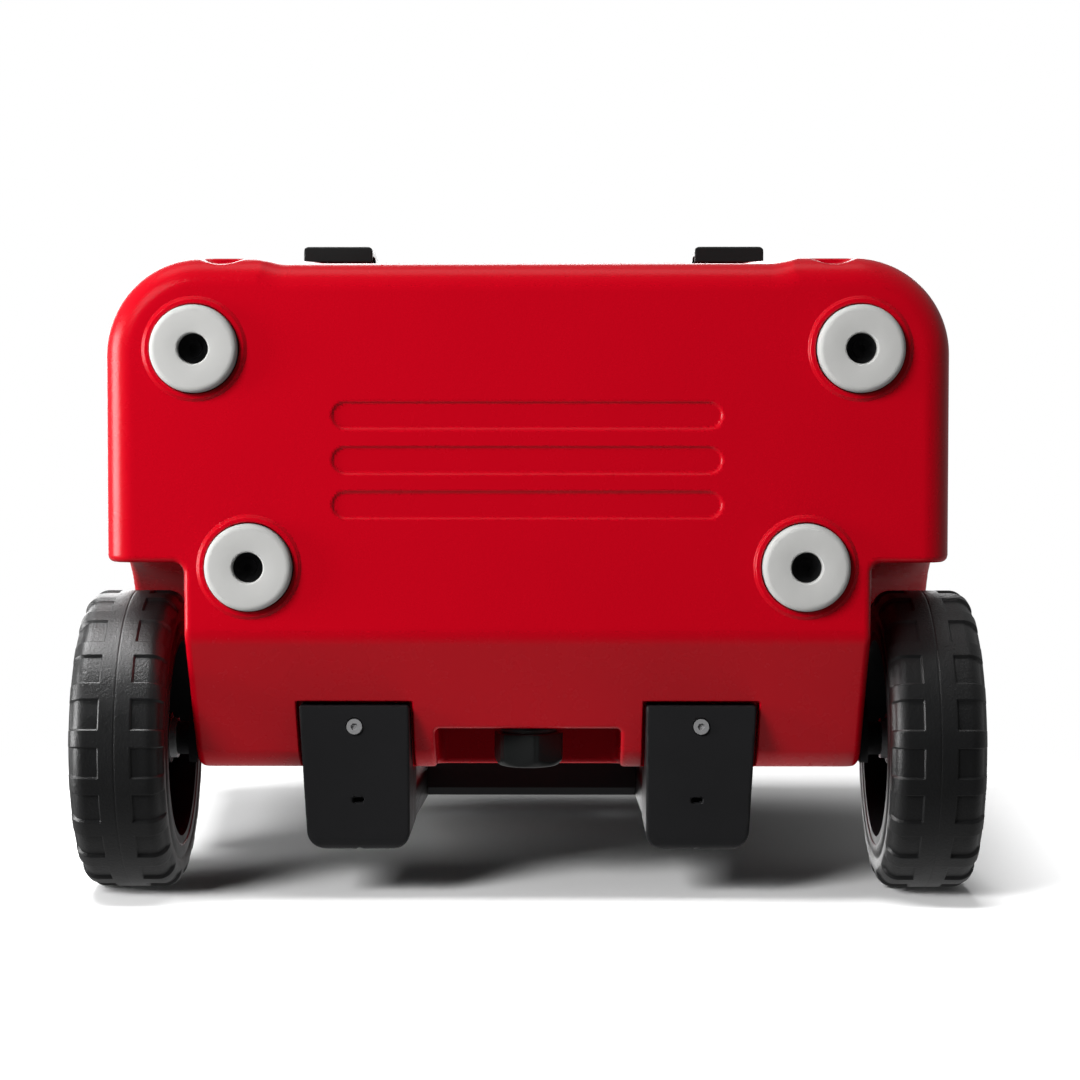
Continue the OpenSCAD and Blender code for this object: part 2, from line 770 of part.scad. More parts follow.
module hub() {
    spokes = 5;
    web_x = 235;
    color(charcoal) difference() {
        union() {
            rod_x(hub_in, hub_out, axle_y, axle_z, 15);
            rod_x(web_x, web_x + 5, axle_y, axle_z, rim_r - 3);
            difference() {
                rod_x(tyre_in + 0.5, tyre_out - 0.5, axle_y, axle_z, rim_r);
                rod_x(tyre_in, tyre_out, axle_y, axle_z, rim_r - 5);
            }
            for (i = [0:spokes - 1]) translate([0, axle_y, axle_z]) rotate([i * 360 / spokes, 0, 0])
                translate([hub_in + 4, 12, -3]) cube([hub_out - hub_in - 4, rim_r - 15, 6]);
        }
        rod_x(hub_in - past, hub_out + past, axle_y, axle_z, 8 + run_gap);
    }
}

module wheel_bush() {
    color(pale_rubber) difference() {
        rod_x(hub_in + 0.2, hub_out, axle_y, axle_z, 8);
        rod_x(hub_in - past, hub_out + past, axle_y, axle_z, axle_r + run_gap);
    }
}

module hub_cap() {
    color(black) difference() {
        rod_x(hub_out - 4, hub_out + 8.5, axle_y, axle_z, 19);
        rod_x(hub_out - 5, hub_out + 0.05, axle_y, axle_z, 15.05);
        rod_x(hub_out - 5, hub_out + 5.5, axle_y, axle_z, 12);
        for (i = [0:4]) translate([0, axle_y, axle_z]) rotate([i * 72, 0, 0])
            translate([hub_out - 8, 12, -3.1]) cube([8.1, 12, 6.2]);
    }
}

// ---------------------------------------------------------------- hinges

module hinge_screw_places() {
    for (p = [[-12, 408], [12, 408], [0, 390]])
        translate([hinge_x + p[0], back_y(p[1]), p[1]]) rotate([-draft, 0, 0]) translate([0, 4.8, 0])
            rotate([-90, 0, 0]) children();
}

// The rear hinge block: a leaf on the rear wall and an ear that stands over the rim
module hinge_ear() {
    color(black) difference() {
        union() {
            along_x(hinge_x - ear_w / 2, hinge_x + ear_w / 2) polygon([
                [back_y(376) + join_gap, 376], [back_y(376) + 5, 376],
                [back_y(rim_z) + 5, rim_z], [back_y(rim_z) + 1, rim_z + 11],
                [hinge_y, hinge_z], [hinge_y - ear_r, rim_z + 9], [hinge_y - ear_r, rim_z + join_gap],
                [back_y(rim_z) + join_gap, rim_z + join_gap]]);
            rod_x(hinge_x - ear_w / 2, hinge_x + ear_w / 2, hinge_y, hinge_z, ear_r);
        }
        rod_x(hinge_x - ear_w, hinge_x + ear_w, hinge_y, hinge_z, pin_r + run_gap);
        hinge_screw_places() screw_hole(4.5, 2.6, 2.2, 18);
    }
}

module hinge_screws() {
    color(steel) both_sides() hinge_screw_places() screw(4.5, 2.6, 2.2, 18);
}

module hinge_pins() {
    reach = hinge_notch_w / 2 + bush_l - 1;
    color(steel) both_sides() rod_x(hinge_x - reach, hinge_x + reach, hinge_y, hinge_z, pin_r);
}

module hinge_bushes() {
    color(pale_rubber) both_sides() for (side = [-1, 1])
        translate([hinge_x, 0, 0]) mirror([side < 0 ? 1 : 0, 0, 0]) difference() {
            union() {
                rod_x(hinge_notch_w / 2 + join_gap, hinge_notch_w / 2 + bush_l, hinge_y, hinge_z, bush_r);
                rod_x(hinge_notch_w / 2 - 1.6, hinge_notch_w / 2 - join_gap, hinge_y, hinge_z, bush_r + 3);
            }
            rod_x(0, 60, hinge_y, hinge_z, pin_r + run_gap);
        }
}

// ---------------------------------------------------------------- lid

function lid_outline(inset) = outline(side_x(rim_z) + lid_lip - inset,
                                      front_y(rim_z) - front_proud - lid_lip + inset,
                                      hinge_y + barrel_r - inset, max(corner_r(rim_z) - inset, 3));

module lid_block(inset) {
    bend = max(lid_bend - inset, 2);
    loft(concat(
        [at_height(lid_outline(inset + 2), lid_z + inset), at_height(lid_outline(inset), lid_z + inset + 2)],
        [for (a = [0:30:90]) at_height(lid_outline(inset + bend * (1 - cos(a))),
                                       lid_top - inset - bend * (1 - sin(a)))]));
}

// The part of the lid that drops inside the rim
module lid_plug(inset) {
    loft([at_height(cavity_outline(rim_z, 6 + inset), lid_z - plug_drop + inset),
          at_height(cavity_outline(rim_z, 3.5 + inset), lid_z + 3 + inset)]);
}

module gasket_ring(grow, z0, z1) {
    translate([0, 0, z0]) linear_extrude(z1 - z0) difference() {
        polygon(cavity_outline(rim_z, -gasket_out - gasket_w - grow));
        polygon(cavity_outline(rim_z, -gasket_out + grow));
    }
}

module lid_cuts(grow) {
    along_x(-300, 300) difference() {
        translate([hinge_y, lid_z - 5]) square([60, lid_t + 10]);
        translate([hinge_y, hinge_z]) circle(r = barrel_r - grow, $fn = 96);
    }
    both_sides() {
        translate([hinge_x - hinge_notch_w / 2 - grow, hinge_y - hinge_notch_deep - grow, lid_z - 20])
            cube([hinge_notch_w + 2 * grow, 80, lid_t + 40]);
        translate([latch_x - latch_notch_w / 2 - grow, -260, lid_z - 20])
            cube([latch_notch_w + 2 * grow, 260 + latch_notch_y + grow, lid_t + 40]);
    }
    step_y = front_y(rim_z) - front_proud - lid_lip + lid_front_deep;
    translate([-lid_front_w / 2 - grow, -260, lid_z - 20])
        cube([lid_front_w + 2 * grow, 260 + step_y + grow, lid_t + 40]);
    gasket_ring(0.2 + grow, lid_z - 2, lid_z + 5 + grow);
}

module lid_holes() {
    both_sides() {
        rod_x(hinge_x - hinge_notch_w / 2 - bush_l - 0.5, hinge_x + hinge_notch_w / 2 + bush_l + 0.5,
              hinge_y, hinge_z, bush_r + join_gap);
        latch_mount_screw_places() screw_hole(3.4, 2, 1.8, 16);
    }
}

module lid_foam_form(gap) {
    difference() {
        union() {
            lid_block(skin + gap);
            lid_plug(skin + gap);
        }
        lid_cuts(skin + gap);
        reach = hinge_notch_w / 2 + bush_l + skin;
        both_sides() rod_x(hinge_x - reach, hinge_x + reach, hinge_y, hinge_z, bush_r + 3);
    }
}

module lid_shell() {
    color(red) difference() {
        union() {
            lid_block(0);
            lid_plug(0);
        }
        lid_cuts(0);
        lid_foam_form(0);
        lid_holes();
    }
}

module lid_foam() {
    color(foam) difference() {
        lid_foam_form(foam_gap);
        lid_holes();
    }
}

module lid_gasket() {
    color(pale_rubber) gasket_ring(0, rim_z + 0.3, lid_z + 4.9);
}

// ---------------------------------------------------------------- latches

module latch_mount_screw_places() {
    for (side = [-1, 1]) translate([latch_x + side * 14, latch_notch_y - 2, lid_z + 9])
        rotate([90, 0, 0]) children();
}

module latch_mount() {
    ear_in = latch_w / 2 - 0.2;
    ear_t = 2.9;
    color(black) difference() {
        union() {
            translate([latch_x - 28, latch_notch_y - 2, lid_z + 2]) cube([56, 2 - join_gap, lid_t - 10]);
            for (side = [-1, 1]) translate([latch_x, 0, 0]) mirror([side < 0 ? 1 : 0, 0, 0]) {
                translate([ear_in, latch_pivot[0], lid_z + 12])
                    cube([ear_t, latch_notch_y - 1 - latch_pivot[0], lid_t - 20]);
                rod_x(ear_in, ear_in + ear_t, latch_pivot[0], latch_pivot[1], 7);
            }
        }
        rod_x(latch_x - 40, latch_x + 40, latch_pivot[0], latch_pivot[1], latch_pin_r + run_gap);
        latch_mount_screw_places() screw_hole(3.4, 2, 1.8, 16);
    }
}

module latch_mount_screws() {
    color(steel) both_sides() latch_mount_screw_places() screw(3.4, 2, 1.8, 16);
}

module latch_pins() {
    reach = 28.1;
    color(steel) both_sides()
        rod_x(latch_x - reach, latch_x + reach, latch_pivot[0], latch_pivot[1], latch_pin_r);
}

// A pull-down lever: a barrel on the pin, a face that hangs in front of the keeper and a foot under it
module latch_lever() {
    half = latch_w / 2 - 0.5;
    round_r = 4;
    color(black) difference() {
        union() {
            rod_x(latch_x - half, latch_x + half, latch_pivot[0], latch_pivot[1], 7.5);
            intersection() {
                along_x(latch_x - half, latch_x + half) translate([-latch_front, latch_bottom]) polygon([
                    [8.5, 59], [5.5, 53], [3.5, 38], [2.5, 23], [0, 6], [0, 2], [1.4, 0], [10.6, 0],
                    [12, 1.4], [12, 3.4], [7.6, 3.4], [6.8, 10], [7, 28], [12, 39], [15, 53]]);
                translate([latch_x, -latch_front, 0]) linear_extrude(500)
                    polygon(outline(half, 0, 40, round_r, 5));
            }
        }
        rod_x(latch_x - 40, latch_x + 40, latch_pivot[0], latch_pivot[1], latch_pin_r + run_gap);
    }
}

module on_front_wall(z) {
    translate([0, front_y(z), z]) rotate([draft, 0, 0]) children();
}

module keeper_screw_places() {
    for (side = [-1, 1]) on_front_wall(keeper_z) translate([latch_x + side * 13, -3, 9])
        rotate([90, 0, 0]) children();
}

module latch_keeper() {
    color(black) difference() {
        on_front_wall(keeper_z) union() {
            translate([latch_x - 20, -3, 0]) cube([40, 3 - join_gap, 18]);
            translate([latch_x - 20, -4.6, 12]) cube([40, 4.6 - join_gap, 6]);
        }
        keeper_screw_places() screw_hole(3.6, 2, 1.8, 15);
    }
}

module keeper_screws() {
    color(steel) both_sides() keeper_screw_places() screw(3.6, 2, 1.8, 15);
}

tub_shell();
tub_foam();
drain_bushing();
at_side(-1) foot(foot_places[0]);  // foot_front_left
at_side(1) foot(foot_places[0]);  // foot_front_right
at_side(-1) foot(foot_places[1]);  // foot_rear_left
at_side(1) foot(foot_places[1]);  // foot_rear_right
foot_screws();
at_side(-1) handle_base();  // handle_base_left
at_side(1) handle_base();  // handle_base_right
handle_base_screws();
at_side(-1) handle_rail();  // handle_rail_left
at_side(1) handle_rail();  // handle_rail_right
handle_bracket();
handle_bracket_screws();
at_side(-1) axle_plate();  // axle_plate_left
at_side(1) axle_plate();  // axle_plate_right
axle_plate_screws();
at_side(-1) axle();  // axle_left
at_side(1) axle();  // axle_right
axle_washers();
axle_clips();
at_side(-1) hinge_ear();  // hinge_ear_left
at_side(1) hinge_ear();  // hinge_ear_right
hinge_screws();
hinge_pins();
at_side(-1) latch_keeper();  // latch_keeper_left
at_side(1) latch_keeper();  // latch_keeper_right
keeper_screws();
lid_shell();
lid_foam();
lid_gasket();
at_side(-1) latch_mount();  // latch_mount_left
at_side(1) latch_mount();  // latch_mount_right
latch_mount_screws();
latch_pins();
hinge_bushes();
at_side(-1) latch_lever();  // latch_lever_left
at_side(1) latch_lever();  // latch_lever_right
at_side(-1) tyre();  // tyre_left
at_side(1) tyre();  // tyre_right
at_side(-1) hub();  // hub_left
at_side(1) hub();  // hub_right
at_side(-1) wheel_bush();  // wheel_bush_left
at_side(1) wheel_bush();  // wheel_bush_right
at_side(-1) hub_cap();  // hub_cap_left
at_side(1) hub_cap();  // hub_cap_right
at_side(-1) mid_tube();  // mid_tube_left
at_side(1) mid_tube();  // mid_tube_right
mid_collars();
at_side(-1) inner_tube();  // inner_tube_left
at_side(1) inner_tube();  // inner_tube_right
grip_body();
grip_cover();
grip_screws();
release_button();
push_rods();
button_springs();
drain_plug();
drain_seal();
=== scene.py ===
import json
import math

import bpy
import numpy as np
import openvdb
from mathutils import Matrix, Vector


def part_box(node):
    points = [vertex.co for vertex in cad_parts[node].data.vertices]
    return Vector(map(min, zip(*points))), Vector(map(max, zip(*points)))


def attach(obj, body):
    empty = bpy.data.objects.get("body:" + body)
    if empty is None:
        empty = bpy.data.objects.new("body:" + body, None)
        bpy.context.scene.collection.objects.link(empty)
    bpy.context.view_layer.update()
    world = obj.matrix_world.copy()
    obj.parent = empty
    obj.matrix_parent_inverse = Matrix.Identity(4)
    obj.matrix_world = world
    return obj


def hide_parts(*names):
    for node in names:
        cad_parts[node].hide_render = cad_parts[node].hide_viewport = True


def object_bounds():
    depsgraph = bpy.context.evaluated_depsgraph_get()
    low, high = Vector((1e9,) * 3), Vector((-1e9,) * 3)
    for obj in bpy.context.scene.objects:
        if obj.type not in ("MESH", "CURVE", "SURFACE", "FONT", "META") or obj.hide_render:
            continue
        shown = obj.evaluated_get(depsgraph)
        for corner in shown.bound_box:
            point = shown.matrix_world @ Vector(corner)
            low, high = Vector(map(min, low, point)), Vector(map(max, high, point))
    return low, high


# A wheeled hard cooler chest, seen from below. The frame stands it upright: X right, Y back, Z up.
# Moulded forms are signed distances in millimetres, negative inside, that become meshes in metres.

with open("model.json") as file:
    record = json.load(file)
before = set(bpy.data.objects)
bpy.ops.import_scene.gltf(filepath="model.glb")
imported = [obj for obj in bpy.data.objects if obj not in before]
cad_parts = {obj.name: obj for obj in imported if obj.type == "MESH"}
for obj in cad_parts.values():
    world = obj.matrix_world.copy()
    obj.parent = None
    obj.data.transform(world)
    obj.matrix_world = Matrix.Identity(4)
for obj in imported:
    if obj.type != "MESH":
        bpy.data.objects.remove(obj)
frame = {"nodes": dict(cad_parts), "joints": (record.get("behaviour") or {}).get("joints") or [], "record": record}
cad_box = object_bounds()

MM = 0.001


def box_mm(node):
    """The lowest and highest corners of a CAD node, in millimetres."""
    low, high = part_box(node)
    return np.array(low) / MM, np.array(high) / MM


def centre_mm(node):
    low, high = box_mm(node)
    return (low + high) / 2


def joint_mm(name):
    """A point on a hinge's axis, in millimetres."""
    return np.array(next(j for j in frame["joints"] if j["name"] == name)["pos_m"]) / MM


# ---------------------------------------------------------------- sizes, in millimetres

DRAFT = math.radians(3.3)
LEAN = math.tan(DRAFT)
SLOPE = math.radians(33)
SLOPE_Y = 47
BASE_Z = 8
CORNER = 55
FRONT_PROUD = 3
FRONT_PANEL = 168
SCOOP_X = 175
SCOOP_R = 22
SCOOP_DEEP = 3.2
SCOOP_TOP = 40
CORNER_GROWTH = 0.03
CORNER_FROM = 15
BASE_BEND = 16
WALL = 45
CAVITY_FLOOR = 60
CAVITY_CORNER = 34
WELL_X = 196.6
WELL_R = 110
HUMP_WALL = 22
TUBE_X = 101.25
NOTCH_HALF_W = 33.75
NOTCH_U = 47.2
NOTCH_DEEP = 10
DRAIN_HALF_W = 54.7
DRAIN_Y = 103.6
DRAIN_TOP = 100
HINGE_X = 170
HINGE_GAP = 22.5
HINGE_DEEP = 13
LATCH_X = 141
LATCH_GAP = 28.5
LATCH_BACK = -176.25
HAND_Y = (-70, 50)
HAND_Z = (386, 416)
HAND_DEEP = 18
FLUTE_Y = -54.25
FLUTE_PITCH = 25.5
FLUTE_HALF_W = 103.5
FLUTE_R = 7.5
FLUTE_DEEP = 1.5
FOOT_GAP = 1.2
DRAIN_BORE_R = 14
DRAIN_BORE_Y = 76
LID_EDGE = 13
LID_PANEL = 1.2
LID_PANEL_HALF_W = 222
LID_PANEL_FRONT = 48
LID_PANEL_BACK = 42
LID_LEDGE_HALF_W = 213.5
LID_PLUG = 11
GASKET_OUT = -11.2
GASKET_IN = -2.8
GASKET_DEEP = 5

tub_low, tub_high = box_mm("tub_shell")
RIM_Z = tub_high[2]
RIM_HALF_W = tub_high[0]
RIM_FRONT = tub_low[1]
RIM_BACK = tub_high[1]
lid_low, lid_high = box_mm("lid_shell")
LID_Z = RIM_Z + 1
LID_TOP = lid_high[2]
AXLE = joint_mm("wheel_right_spin")
TYRE_LOW, TYRE_HIGH = box_mm("tyre_right")
WHEEL_R = AXLE[2]
HINGE = joint_mm("lid_open")
LATCH = joint_mm("latch_right_open")
BARREL_R = LID_TOP - HINGE[2]
DRAIN_Z = centre_mm("drain_seal")[2]
FOOT_PLACES = [centre_mm("foot_front_right"), centre_mm("foot_rear_right")]
FOOT_LOW, FOOT_HIGH = box_mm("foot_front_right")
FOOT_R = (FOOT_HIGH - FOOT_LOW)[0] / 2
BOSS_Z = tub_low[2]
HANDLE_Y, HANDLE_Z = 154.25, 50
BASE_LOW, BASE_HIGH = box_mm("handle_base_right")
BASE_TOP_S = 58
PLUG_LOW, PLUG_HIGH = box_mm("drain_plug")
PLUG_KNOB_Y = DRAIN_Y + 4.5
PLUG_R = 21.9
PLUG_TURN = math.radians(17)
PLUG_STEM_R = 9.6
THREAD_R = 10.4
THREAD_PITCH = 4
TREAD_PADS = 20
TREAD_PAD_SHARE = 0.63
TREAD_TURN = math.radians(2.6)
TREAD_W = 18
TREAD_DEEP = 1.6
TYRE_SHOULDER = 10
TYRE_BORE = 64.05
LEVER_LOW, LEVER_HIGH = box_mm("latch_lever_right")
SIDES = (("left", -1), ("right", 1))
ROWS = ("front", "rear")
FINE, MEDIUM, COARSE = 1.2, 2.3, 6.0


# ---------------------------------------------------------------- signed distances

def both(a, b, r=0.0):
    """Where both forms are, with the edge between them rounded to radius r."""
    return np.minimum(-r, np.maximum(a, b)) + np.hypot(np.maximum(a + r, 0), np.maximum(b + r, 0))


def either(a, b, r=0.0):
    """Where one of the forms is, with the corner between them filled to radius r."""
    return -both(-a, -b, r)


def without(a, b, r=0.0):
    """Where the first form is and the second isn't."""
    return both(a, -b, r)


def plan(x, y, half_w, y0, y1, r):
    """A rectangle with rounded corners, about X = 0."""
    qx = np.abs(x) - half_w + r
    qy = np.abs(y - (y0 + y1) / 2) - (y1 - y0) / 2 + r
    return np.hypot(np.maximum(qx, 0), np.maximum(qy, 0)) + np.minimum(np.maximum(qx, qy), 0) - r


def slab(t, low, high):
    """Between two parallel planes."""
    return np.abs(t - (low + high) / 2) - (high - low) / 2


def outline(u, v, points):
    """A closed outline of points, taken either way round."""
    nearest = np.full(np.broadcast(u, v).shape, np.inf)
    inside = np.zeros(nearest.shape, bool)
    for (ax, ay), (bx, by) in zip(points, points[1:] + points[:1]):
        ex, ey = bx - ax, by - ay
        wx, wy = u - ax, v - ay
        t = np.clip((wx * ex + wy * ey) / (ex * ex + ey * ey), 0, 1)
        nearest = np.minimum(nearest, (wx - ex * t) ** 2 + (wy - ey * t) ** 2)
        if ay != by:
            crossing = (v >= min(ay, by)) & (v < max(ay, by)) & (wx < ex * wy / ey)
            inside ^= crossing
    return np.where(inside, -1, 1) * np.sqrt(nearest)


def along_handle(y, z):
    """How far up the leaning tow handle."""
    return (y - HANDLE_Y) * math.sin(DRAFT) + (z - HANDLE_Z) * math.cos(DRAFT)


def arch(y, z, r):
    """The side view of a wheel arch: a quarter circle, open at the back and below."""
    return np.hypot(np.maximum(AXLE[1] - y, 0), np.maximum(z - AXLE[2], 0)) - r


def cavity_plan(x, y, z, inset):
    """The outline of the cavity at a height, inset from its walls."""
    rise = (z - RIM_Z) * LEAN
    return plan(x, y, RIM_HALF_W + rise - WALL - inset, RIM_FRONT - rise + WALL + inset,
                RIM_BACK + rise - WALL + 1 - inset, CAVITY_CORNER - inset)


# ---------------------------------------------------------------- meshes

def slopes(form, p, step=0.02):
    """The form's value at points and the direction in which it grows."""
    value = form(*p.T)
    g = np.empty_like(p)
    for k in range(3):
        ahead = p.copy()
        ahead[:, k] += step
        g[:, k] = form(*ahead.T) - value
    return value, g / step


def settle(form, p, limit):
    """Moves points onto the form's surface and returns them with their normals."""
    for _ in range(2):
        value, g = slopes(form, p)
        move = value[:, None] * g / np.maximum((g * g).sum(1), 0.2)[:, None]
        p = p - np.clip(move, -limit, limit)
    g = slopes(form, p)[1]
    return p, g / np.maximum(np.linalg.norm(g, axis=1), 1e-6)[:, None]


def relax(p, faces, normals, amount=0.5):
    """Evens out the points along the surface."""
    total, count = np.zeros_like(p), np.zeros(len(p))
    for ring in faces:
        for k in range(ring.shape[1]):
            a, b = ring[:, k], ring[:, (k + 1) % ring.shape[1]]
            for i, j in ((a, b), (b, a)):
                for axis in range(3):
                    total[:, axis] += np.bincount(i, p[j, axis], len(p))
                count += np.bincount(i, minlength=len(p))
    move = total / np.maximum(count, 1)[:, None] - p
    return p + amount * (move - (move * normals).sum(1)[:, None] * normals)


def mesh_object(name, points, faces, material, smooth=True, normals=None):
    """A mesh object from points in millimetres."""
    mesh = bpy.data.meshes.new(name)
    mesh.from_pydata((np.asarray(points) * MM).tolist(), [], [list(map(int, f)) for f in faces])
    mesh.update()
    mesh.materials.append(material)
    if smooth:
        mesh.polygons.foreach_set("use_smooth", [True] * len(mesh.polygons))
    if normals is not None:
        mesh.normals_split_custom_set_from_vertices(normals.tolist())
    piece = bpy.data.objects.new(name, mesh)
    bpy.context.scene.collection.objects.link(piece)
    return piece


def steps(low, high, fine, coarse=None, bands=()):
    """Grid lines from low to high, fine inside the bands and coarse outside them."""
    lines = [low - 3 * fine]
    while lines[-1] < high + 3 * fine:
        here = lines[-1]
        near = coarse is None or any(a - 2 * fine <= here <= b for a, b in bands)
        lines.append(here + (fine if near else coarse))
    return np.array(lines)


def even_steps(half, fine, coarse=None, bands=()):
    """Grid lines that are the same on both sides of zero."""
    lines = steps(3 * fine, half, fine, coarse, bands)
    return np.concatenate([-lines[:0:-1], lines])


def moulded(name, form, axes, material, rounds=2):
    """The surface of a form, sampled where the lines of the three axes cross."""
    voxel = min(np.diff(a).min() for a in axes)
    limit = 4 * voxel
    mirrored = abs(axes[0][0] + axes[0][-1]) < 1e-6
    x = axes[0][len(axes[0]) // 2:] if mirrored else axes[0]
    x, y = x.reshape(-1, 1, 1).astype(np.float32), axes[1].reshape(1, -1, 1).astype(np.float32)
    layers = [np.clip(form(x, y, part.reshape(1, 1, -1).astype(np.float32)), -limit, limit).astype(np.float32)
              for part in np.array_split(axes[2], math.ceil(len(axes[2]) / 8))]
    distance = np.concatenate(layers, axis=2)
    if mirrored:
        distance = np.concatenate([distance[:0:-1], distance])
    distance = np.ascontiguousarray(distance)
    grid = openvdb.FloatGrid(background=limit)
    grid.copyFromArray(distance)
    points, triangles, quads = grid.convertToPolygons(isovalue=0.0, adaptivity=0.0)
    p = np.stack([np.interp(points[:, k], np.arange(len(a)), a) for k, a in enumerate(axes)], axis=1)
    rings = [f.astype(int) for f in (triangles, quads) if len(f)]
    start = p
    p, normals = settle(form, p, voxel)
    for _ in range(rounds):
        p = relax(p, rings, normals)
        p, normals = settle(form, p, voxel)
    lost = (np.abs(form(*p.T)) > 0.2 * voxel) | (np.linalg.norm(p - start, axis=1) > 2.5 * voxel)
    p[lost] = start[lost]
    first = rings[-1][:500]
    facing = np.cross(p[first[:, 1]] - p[first[:, 0]], p[first[:, 2]] - p[first[:, 0]])
    if (facing * normals[first[:, 0]]).sum() < 0:
        rings = [ring[:, ::-1] for ring in rings]
    faces = [f for ring in rings for f in ring.tolist()]
    return mesh_object(name, p, faces, material, normals=normals)


def lathe(name, profile, centre, axis, material, segments=120):
    """A closed profile of (radius, height) turned about an axis through centre."""
    along = Vector(axis)
    turn = Vector((0, 0, 1)).rotation_difference(along).to_matrix()
    points = []
    for i in range(segments):
        a = 2 * math.pi * i / segments
        for r, h in profile:
            points.append(turn @ Vector((r * math.cos(a), r * math.sin(a), h)) + Vector(centre))
    n = len(profile)
    faces = []
    for i in range(segments):
        j = (i + 1) % segments
        for k in range(n):
            m = (k + 1) % n
            faces.append((i * n + k, j * n + k, j * n + m, i * n + m))
    return mesh_object(name, [tuple(p) for p in points], faces, material)


def arc(cx, cy, r, start, end, count):
    """Points on an arc, from one angle in degrees to another."""
    angles = [math.radians(start + (end - start) * i / count) for i in range(count + 1)]
    return [(cx + r * math.cos(a), cy + r * math.sin(a)) for a in angles]


# ---------------------------------------------------------------- materials

# The sockets of a Mix node that mixes colours.
COLOUR_A, COLOUR_B, COLOUR_OUT = 6, 7, 2


class Nodes:
    """A short way to build a material's node tree."""

    def __init__(self, name):
        self.material = bpy.data.materials.new(name)
        self.material.use_nodes = True
        self.tree = self.material.node_tree
        self.shader = self.tree.nodes["Principled BSDF"]

    def add(self, kind, inputs=None, **settings):
        node = self.tree.nodes.new(kind)
        for key, value in settings.items():
            setattr(node, key, value)
        for key, value in (inputs or {}).items():
            if isinstance(value, bpy.types.NodeSocket):
                self.tree.links.new(value, node.inputs[key])
            else:
                node.inputs[key].default_value = value
        return node

    def noise(self, scale, detail=3.0, stretch=(1, 1, 1)):
        """Noise with a scale per metre, in the object's own space."""
        place = self.add("ShaderNodeTexCoord").outputs["Object"]
        if stretch != (1, 1, 1):
            place = self.add("ShaderNodeMapping", {"Vector": place, "Scale": stretch}).outputs["Vector"]
        inputs = {"Vector": place, "Scale": scale, "Detail": detail, "Roughness": 0.55}
        return self.add("ShaderNodeTexNoise", inputs).outputs["Fac"]

    def range(self, value, low, high, spread=0.22):
        """Noise stretched about its middle to run from low to high."""
        inputs = {"Value": value, "From Min": 0.5 - spread, "From Max": 0.5 + spread,
                  "To Min": low, "To Max": high}
        return self.add("ShaderNodeMapRange", inputs).outputs["Result"]

    def set(self, **values):
        """Sets or links sockets of the shader."""
        for key, value in values.items():
            socket = self.shader.inputs[key.replace("_", " ")]
            if isinstance(value, bpy.types.NodeSocket):
                self.tree.links.new(value, socket)
            else:
                socket.default_value = value

    def vary(self, colour, share, scale, detail=3.0, stretch=(1, 1, 1)):
        """The colour, a little darker and lighter from place to place."""
        factor = self.range(self.noise(scale, detail, stretch), 0.0, 1.0)
        mix = self.add("ShaderNodeMix", {"Factor": factor}, data_type="RGBA")
        mix.inputs[COLOUR_A].default_value = (*[c * (1 - share) for c in colour], 1)
        mix.inputs[COLOUR_B].default_value = (*[min(c * (1 + share), 1) for c in colour], 1)
        self.set(Base_Color=mix.outputs[COLOUR_OUT])
        return mix.outputs[COLOUR_OUT]

    def neutral_bounce(self, colour, grey):
        """A plain grey for the light that reaches other things, so that their shadows stay neutral."""
        bounced = self.add("ShaderNodeLightPath").outputs["Is Diffuse Ray"]
        mix = self.add("ShaderNodeMix", {"Factor": bounced, COLOUR_A: colour}, data_type="RGBA")
        mix.inputs[COLOUR_B].default_value = (grey, grey, grey, 1)
        self.set(Base_Color=mix.outputs[COLOUR_OUT])

    def grain(self, layers, strength=1.0):
        """Bump from layers of noise, each (scale per metre, height in metres, detail)."""
        normal = None
        for scale, height, detail in layers:
            inputs = {"Height": self.noise(scale, detail), "Distance": height, "Strength": strength}
            if normal is not None:
                inputs["Normal"] = normal
            normal = self.add("ShaderNodeBump", inputs).outputs["Normal"]
        self.set(Normal=normal)


def moulded_plastic(name, colour, rough, layers, share=0.12, shine=0.5, bounce=None, wear=0.055):
    """Plastic or rubber with mould grain. Its colour varies by the share and its roughness by the wear."""
    n = Nodes(name)
    varied = n.vary(colour, share, 9, 4)
    if bounce is not None:
        n.neutral_bounce(varied, bounce)
    n.set(Roughness=n.range(n.noise(60, 4), rough - wear, rough + wear), Specular_IOR_Level=shine)
    n.grain(layers)
    return n.material


def metal(name, colour, rough, stretch=(1, 1, 1), share=0.1, metallic=1.0):
    """Metal whose fine marks are drawn out where the stretch is small."""
    n = Nodes(name)
    n.vary(colour, share, 400, 2, stretch)
    n.set(Metallic=metallic, Roughness=n.range(n.noise(700, 2, stretch), rough - 0.07, rough + 0.09))
    n.grain([(900, 0.00002, 2)])
    return n.material


